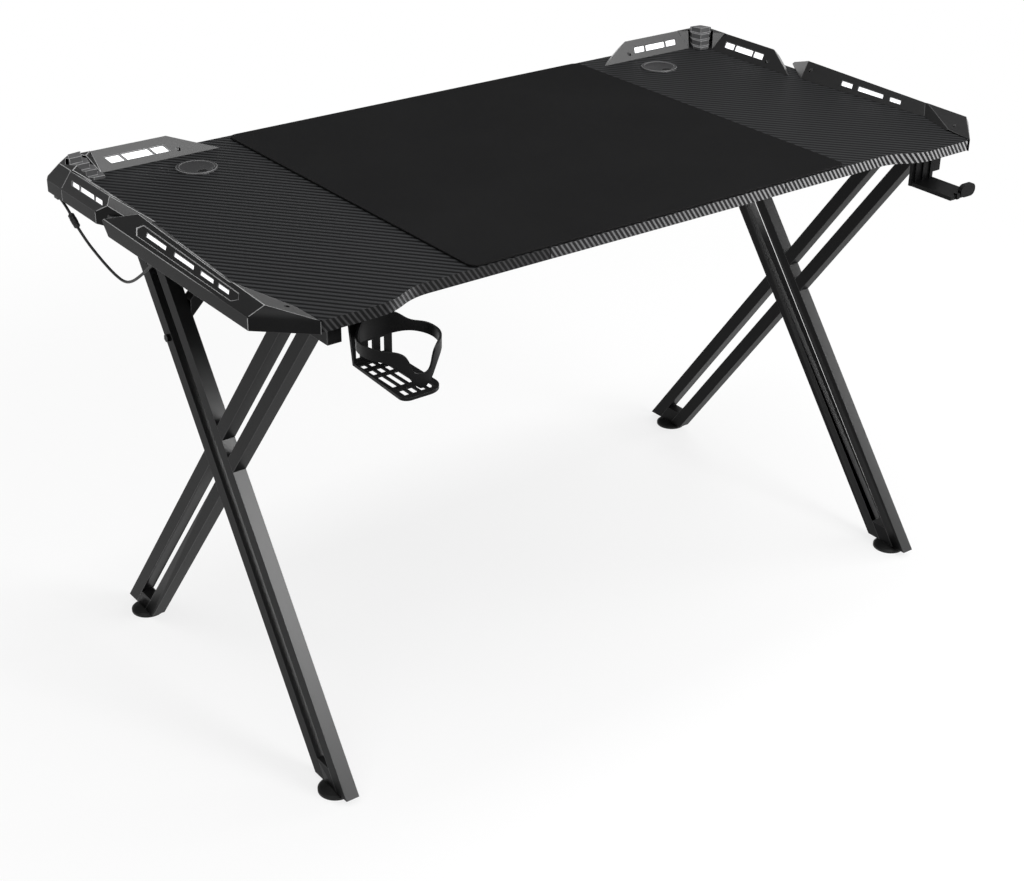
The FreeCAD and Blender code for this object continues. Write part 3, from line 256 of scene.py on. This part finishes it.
def cloth():
    """Close-woven cloth of the mat with a finely brushed face."""
    finish = Finish("mat_weave")
    x, y, _ = finish.axes()
    weave = (x / WEAVE_PITCH).wave() * (y / WEAVE_PITCH).wave()
    fuzz = finish.noise(900, 4, 0.7)
    cloud = finish.noise(4, 3)
    shade = finish.mixed(weave * 0.5 + fuzz * 0.3, (0.0096, 0.0096, 0.0099), (0.0155, 0.0155, 0.0158))
    shade = finish.mixed(cloud.between(0.35, 0.75) * 0.25, shade, (0.017, 0.017, 0.0172))
    return finish.surface(shade, 0.86 + fuzz * 0.1, finish.bump(weave + fuzz * 0.6, 0.0003, 0.5),
                          Specular_IOR_Level=0.02)


def stitching():
    """Thick black overlock thread around the mat."""
    finish = Finish("black_overlock")
    x, y, z = finish.axes()
    thread = ((x + y + z * 0.5) / STITCH_PITCH).wave()
    fibre = finish.noise(2600, 3)
    shade = finish.mixed(thread.between(0.2, 0.8) * 0.7 + fibre * 0.2, (0.0015, 0.0015, 0.0016),
                         (0.007, 0.007, 0.0072))
    return finish.surface(shade, 0.8 + fibre * 0.1, finish.bump(thread + fibre * 0.3, 0.0004, 0.8),
                          Specular_IOR_Level=0.15)


def glowing():
    """Milky diffuser, lit from behind, a little dimmer towards its lower edge."""
    finish = Finish("lit_diffuser")
    _, _, z = finish.axes()
    cloud = finish.noise(70, 2)
    low = (z - TOP - 0.004).between(0.0, 0.009)
    glow = finish.mixed(low * 0.75 + cloud * 0.25, (0.62, 0.63, 0.65), (1.0, 1.0, 1.0))
    return finish.surface((0.8, 0.8, 0.82), 0.3 + cloud * 0.1, Emission_Color=glow, Emission_Strength=1.0)


def circuit():
    """White coated strip with small square lamps."""
    finish = Finish("lamp_strip_board")
    x, y, _ = finish.axes()
    chips = ((x + y) / LAMP_PITCH).wave().between(0.86, 0.94)
    speck = finish.noise(800, 2)
    shade = finish.mixed(chips, (0.6, 0.6, 0.57), (0.85, 0.8, 0.5))
    return finish.surface(shade, 0.4 + speck * 0.15, finish.bump(chips + speck * 0.1, 0.0006, 0.6))


def blackened():
    """Blackened steel of the screws and bolts."""
    finish = Finish("blackened_steel")
    scratch = finish.noise(700, 5, 0.7)
    shade = finish.mixed(scratch.between(0.4, 0.75), (0.003, 0.003, 0.0033), (0.012, 0.012, 0.0125))
    return finish.surface(shade, 0.3 + scratch * 0.2, finish.bump(scratch, 0.0001, 0.4), Metallic=0.3,
                          Specular_IOR_Level=0.15)


def rubber():
    """Soft black jacket of the lamp cord."""
    finish = Finish("cord_jacket")
    skin = finish.noise(1200, 3)
    cloud = finish.noise(60, 2)
    shade = finish.mixed(cloud * 0.6, (0.008, 0.008, 0.008), (0.02, 0.02, 0.02))
    return finish.surface(shade, 0.5 + skin * 0.12, finish.bump(skin, 0.0001, 0.3))


FINISHES = {
    "laminate": laminate(),
    "mat_cloth": cloth(),
    "grommet_plastic": moulded("grommet_plastic", (0.024, 0.024, 0.025), (0.036, 0.036, 0.037), 0.42, 0.5),
    "frame_paint": powder_coat(),
    "foot_plastic": moulded("foot_plastic", (0.006, 0.006, 0.006), (0.012, 0.012, 0.012), 0.55, 0.3),
    "fairing_plastic": moulded("fairing_plastic", (0.0065, 0.0065, 0.0068), (0.0105, 0.0105, 0.0108),
                               0.34, 0.07, 0.95),
    "cap_plastic": moulded("cap_plastic", (0.085, 0.085, 0.087), (0.125, 0.125, 0.127), 0.42, 0.2),
    "lens": glowing(),
    "strip_board": circuit(),
    "black_steel": blackened(),
    "accessory_plastic": moulded("accessory_plastic", (0.0035, 0.0035, 0.0037), (0.0065, 0.0065, 0.0067),
                                 0.34, 0.1, 0.3),
    "cord_rubber": rubber(),
}
# Painted highlights for the eased edges of each slot; the fairing's fade towards the right end.
EDGES = {
    "fairing_plastic": edge_highlight("fairing_edge", (0.008, 0.008, 0.0083), (0.42, 0.42, 0.423), 0.2),
    "cap_plastic": edge_highlight("cap_edge", (0.04, 0.04, 0.0405), (0.42, 0.42, 0.423)),
    "frame_paint": edge_highlight("paint_edge_highlight", (0.015, 0.015, 0.0153), (0.05, 0.05, 0.051)),
    "grommet_plastic": edge_highlight("grommet_edge", (0.03, 0.03, 0.031), (0.22, 0.22, 0.222)),
    "accessory_plastic": edge_highlight("accessory_edge", (0.006, 0.006, 0.0062), (0.05, 0.05, 0.051)),
}
OVERLOCK = stitching()

for name, item in nodes.items():
    item.data.materials.clear()
    item.data.materials.append(FINISHES[SLOTS[name]])


# Modelling
def alone(item):
    """Make one object the only selected and active one."""
    bpy.ops.object.select_all(action="DESELECT")
    item.select_set(True)
    bpy.context.view_layer.objects.active = item
    return item


def fresh(name):
    """Name the object that an operator has just added."""
    item = bpy.context.active_object
    item.name = name
    item.data.name = name
    return item


def apply_all(item):
    alone(item)
    for modifier in list(item.modifiers):
        bpy.ops.object.modifier_apply(modifier=modifier.name)


def applied_place(item):
    alone(item)
    bpy.ops.object.transform_apply(location=True, rotation=True, scale=True)


def fitted(item, slot, body=DESK, *replaced):
    """Give a finished piece the body that carries it and the nodes that it stands for; slot is not used."""
    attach(item, body)
    if replaced:
        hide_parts(*replaced)
    return item


def eased(node, width, segments=2, shortest=0.0, body=DESK):
    """A copy of a rigid node with its edges eased, apart from those under the shortest length."""
    slot = SLOTS[node]
    item = bpy.data.objects.new(node + "_eased", nodes[node].data.copy())
    bpy.context.scene.collection.objects.link(item)
    alone(item)
    if slot in EDGES:
        item.data.materials.append(EDGES[slot])
    bpy.ops.object.mode_set(mode="EDIT")
    bpy.ops.mesh.select_all(action="SELECT")
    bpy.ops.mesh.remove_doubles(threshold=WELD)
    bpy.ops.mesh.dissolve_limited(angle_limit=FLAT)
    bpy.ops.mesh.select_mode(type="EDGE")
    bpy.ops.mesh.select_all(action="DESELECT")
    bpy.ops.mesh.edges_select_sharp(sharpness=SHARP)
    bpy.ops.object.mode_set(mode="OBJECT")
    corners = [vertex.co for vertex in item.data.vertices]
    weights = item.data.attributes.new("bevel_weight_edge", "FLOAT", "EDGE").data
    for edge, weight in zip(item.data.edges, weights):
        first, last = edge.vertices
        weight.value = float(edge.select and (corners[first] - corners[last]).length > shortest)
    rounding = item.modifiers.new("rounding", "BEVEL")
    rounding.width = width
    rounding.segments = segments
    rounding.limit_method = "WEIGHT"
    rounding.use_clamp_overlap = shortest == 0
    # The bevels take the slot's painted edge highlight.
    if slot in EDGES:
        rounding.material = 1
    apply_all(item)
    bpy.ops.object.shade_smooth_by_angle(angle=SMOOTH)
    flat = item.modifiers.new("flat_faces", "WEIGHTED_NORMAL")
    flat.keep_sharp = True
    apply_all(item)
    fitted(item, slot, body, node)


PANEL_EASE, FAIRING_EASE, TUBE_EASE, PLUG_EASE = 0.0007, 0.0006, 0.0016, 0.0012
SLEEVE_EASE, LID_EASE, ACCESSORY_EASE = 0.0005, 0.0004, 0.0009
FAIRING_SHORTEST = 0.005
for side in ("right", "left"):
    eased("desktop_panel_" + side, PANEL_EASE)
    for stem in ("side_wing", "rear_wing", "corner_shell", "front_fairing"):
        eased(f"{stem}_{side}", FAIRING_EASE, shortest=FAIRING_SHORTEST)
    eased("corner_cap_" + side, FAIRING_EASE)
    for stem in ("leg_main", "leg_cross_upper", "leg_cross_lower", "leg_brace", "top_rail"):
        eased(f"{stem}_{side}", TUBE_EASE, segments=3)
    eased("grommet_sleeve_" + side, SLEEVE_EASE)
    eased("grommet_lid_" + side, LID_EASE, body=f"grommet_lid_{side}_body")
eased("desktop_panel_centre", PANEL_EASE)
eased("rail_plugs", PLUG_EASE)
for node in ("cup_holder_base", "cup_holder_ring", "headphone_hook"):
    eased(node, ACCESSORY_EASE)


# The mat: cut, hemmed and lying flat on the three panels
MAT_CORNER = 0.014
MAT_HEM = 0.0024
MAT_EDGE = 0.0009


def mouse_mat():
    low, high = (Vector(corner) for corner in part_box("mouse_mat"))
    bpy.ops.mesh.primitive_plane_add(size=1)
    mat = fresh("cloth_mat")
    mat.scale = (high.x - low.x, high.y - low.y, 1)
    mat.location = ((low.x + high.x) / 2, (low.y + high.y) / 2, low.z)
    applied_place(mat)
    bpy.ops.object.mode_set(mode="EDIT")
    bpy.ops.mesh.select_all(action="SELECT")
    bpy.ops.mesh.bevel(offset=MAT_CORNER, segments=8, affect="VERTICES")
    bpy.ops.mesh.select_all(action="SELECT")
    bpy.ops.mesh.inset(thickness=MAT_HEM)
    bpy.ops.object.mode_set(mode="OBJECT")
    mat.data.materials.append(FINISHES["mat_cloth"])
    mat.data.materials.append(OVERLOCK)
    for face in mat.data.polygons:
        face.material_index = 0 if len(face.vertices) > 4 else 1
    wall = mat.modifiers.new("thickness", "SOLIDIFY")
    wall.thickness = high.z - low.z
    wall.offset = 1
    apply_all(mat)
    for face in mat.data.polygons:
        if abs(face.normal.z) < 0.5:
            face.material_index = 1
    rounding = mat.modifiers.new("rounding", "BEVEL")
    rounding.width = MAT_EDGE
    rounding.segments = 3
    rounding.angle_limit = math.radians(60)
    apply_all(mat)
    bpy.ops.object.shade_smooth_by_angle(angle=SMOOTH)
    fitted(mat, "mat_cloth", DESK, "mouse_mat")


mouse_mat()


# The lamp cord: two lengths, with a plug-in connector between them
UPPER_ROUTE = ((-0.63125, 0.33275, 0.716), (-0.63125, 0.31275, 0.711), (-0.63125, 0.29575, 0.700))
LOWER_ROUTE = (
    (-0.63125, 0.27476, 0.68642), (-0.63169, 0.24975, 0.675), (-0.63214, 0.22275, 0.667),
    (-0.63258, 0.19475, 0.660), (-0.63303, 0.16275, 0.654), (-0.63347, 0.13175, 0.653),
    (-0.63392, 0.10475, 0.664), (-0.63436, 0.07775, 0.682), (-0.63481, 0.05275, 0.700),
    (-0.63525, 0.03275, 0.717))
CORD_RADIUS = 0.002


def cord(name, route):
    """A round cord along a route, in place of the node of the same name without its first word."""
    line = bpy.data.curves.new(name, "CURVE")
    line.dimensions = "3D"
    line.bevel_depth = CORD_RADIUS
    line.bevel_resolution = 4
    line.resolution_u = 10
    line.use_fill_caps = True
    spline = line.splines.new("NURBS")
    spline.points.add(len(route) - 1)
    for point, spot in zip(spline.points, route):
        point.co = (*spot, 1)
    spline.order_u = 3
    spline.use_endpoint_u = True
    item = bpy.data.objects.new(name, line)
    bpy.context.scene.collection.objects.link(item)
    line.materials.append(FINISHES["cord_rubber"])
    return fitted(item, "cord_rubber", DESK, name.replace("lamp_", ""))


def connector():
    """A turned plug and socket with grip rings, on the line between the two cords."""
    start, end = Vector(UPPER_ROUTE[-1]), Vector(LOWER_ROUTE[0])
    length = (end - start).length
    profile = [(0.0024, 0.0), (0.0034, 0.0008), (0.0046, 0.0022), (0.0046, 0.0034), (0.0039, 0.0037),
               (0.0039, 0.0045), (0.0046, 0.0048), (0.0046, 0.0060), (0.0039, 0.0063), (0.0039, 0.0071),
               (0.0046, 0.0074), (0.0049, 0.0090), (0.0049, 0.0122), (0.0041, 0.0124)]
    profile += [(radius, length - height) for radius, height in reversed(profile)]
    bpy.ops.mesh.primitive_circle_add(vertices=28, radius=profile[0][0], fill_type="NGON")
    item = fresh("lamp_connector")
    bpy.ops.object.mode_set(mode="EDIT")
    bpy.ops.mesh.select_all(action="SELECT")
    for (radius, height), (wider, higher) in zip(profile, profile[1:]):
        bpy.ops.mesh.extrude_region_move(TRANSFORM_OT_translate={"value": (0, 0, higher - height)})
        share = wider / radius
        bpy.ops.transform.resize(value=(share, share, 1), center_override=(0, 0, higher))
    bpy.ops.mesh.select_all(action="SELECT")
    bpy.ops.mesh.normals_make_consistent(inside=False)
    bpy.ops.object.mode_set(mode="OBJECT")
    item.rotation_euler = (end - start).to_track_quat("Z", "Y").to_euler()
    item.location = start
    applied_place(item)
    rounding = item.modifiers.new("rounding", "BEVEL")
    rounding.width = 0.00015
    rounding.segments = 2
    apply_all(item)
    bpy.ops.object.shade_smooth_by_angle(angle=math.radians(40))
    item.data.materials.append(FINISHES["cord_rubber"])
    return fitted(item, "cord_rubber", DESK, "cord_connector")


plug = connector()
upper = cord("lamp_cord_upper", UPPER_ROUTE)
lower = cord("lamp_cord_lower", LOWER_ROUTE)


# Floor, light and camera
FLOOR_SIZE = 40
FLOOR_GLOW = 0.77


def floor():
    """White paper that takes soft shadows near the desk and glows evenly far from it."""
    bpy.ops.mesh.primitive_plane_add(size=FLOOR_SIZE)
    item = fresh("studio_floor")
    finish = Finish("studio_floor")
    seen, mirrored, through = (finish.node("LightPath", output=f"Is {kind} Ray")
                               for kind in ("Camera", "Glossy", "Transmission"))
    paper = finish.node("BsdfDiffuse", None, {"Color": (0.9, 0.9, 0.9, 1)})
    white = finish.node("Emission", None, {"Color": (1, 1, 1, 1), "Strength": 1.0})
    x, y, _ = finish.axes()
    far = ((x * x + y * y) ** 0.5).between(0.9, 2.2)
    share = ((seen + mirrored + through) > 0.5) * (FLOOR_GLOW + far * (1 - FLOOR_GLOW))
    mixed = finish.node("MixShader", None, {0: share, 1: paper, 2: white})
    finish.node("OutputMaterial", None, {"Surface": mixed})
    item.data.materials.append(finish.material)


def lamp(name, spot, aim, width, height, watts):
    """A rectangular softbox."""
    bpy.ops.object.light_add(type="AREA", location=spot)
    item = bpy.context.active_object
    item.name = name
    item.data.shape = "RECTANGLE"
    item.data.size = width
    item.data.size_y = height
    item.data.energy = watts
    item.rotation_euler = (Vector(aim) - Vector(spot)).to_track_quat("-Z", "Y").to_euler()


def sky():
    """A white wall around the horizon, a dim upper wall and a broad soft light above the front."""
    room = Finish("studio", bpy.data.worlds)
    _, depth, height = room.axes(room.node("TexCoord", output="Generated"))
    wall = 1 - height.between(0.04, 0.16)
    overhead = height.at_least(0) ** 3 * 1.7 * (1 - depth.between(-0.35, 0.35))
    light = room.node("Background", None, {"Color": (1, 1, 1, 1), "Strength": wall + overhead + 0.15})
    room.node("OutputWorld", None, {"Surface": light})
    bpy.context.scene.world = room.material


def studio():
    floor()
    sky()
    lamp("overhead_softbox", (0.1, 0.25, 3.0), (0.1, 0.25, 0), 5.0, 0.7, 47)
    lamp("front_softbox", (0.7, -2.3, 2.05), (-0.5, -0.05, 0.3), 1.0, 0.9, 46)
    lamp("right_softbox", (2.9, -0.9, 0.85), (0.2, -0.2, 0.5), 1.0, 0.8, 34)
    bpy.context.scene.view_settings.view_transform = "Standard"


def camera():
    """The photo's view, with its slight roll."""
    spot, target = Vector((-1.6104, -2.01435, 1.6353)), Vector((-0.1472, -0.09825, 0.3601))
    ahead = (target - spot).normalized()
    right = ahead.cross(Vector((0, 0, 1))).normalized()
    up = right.cross(ahead)
    roll = math.radians(0.7758)
    right, up = right * math.cos(roll) + up * math.sin(roll), up * math.cos(roll) - right * math.sin(roll)
    bpy.ops.object.camera_add(location=spot)
    item = bpy.context.active_object
    item.rotation_euler = Matrix((right, up, -ahead)).transposed().to_euler()
    item.data.sensor_width = 36
    item.data.lens = 64.79
    bpy.context.scene.camera = item


studio()
camera()
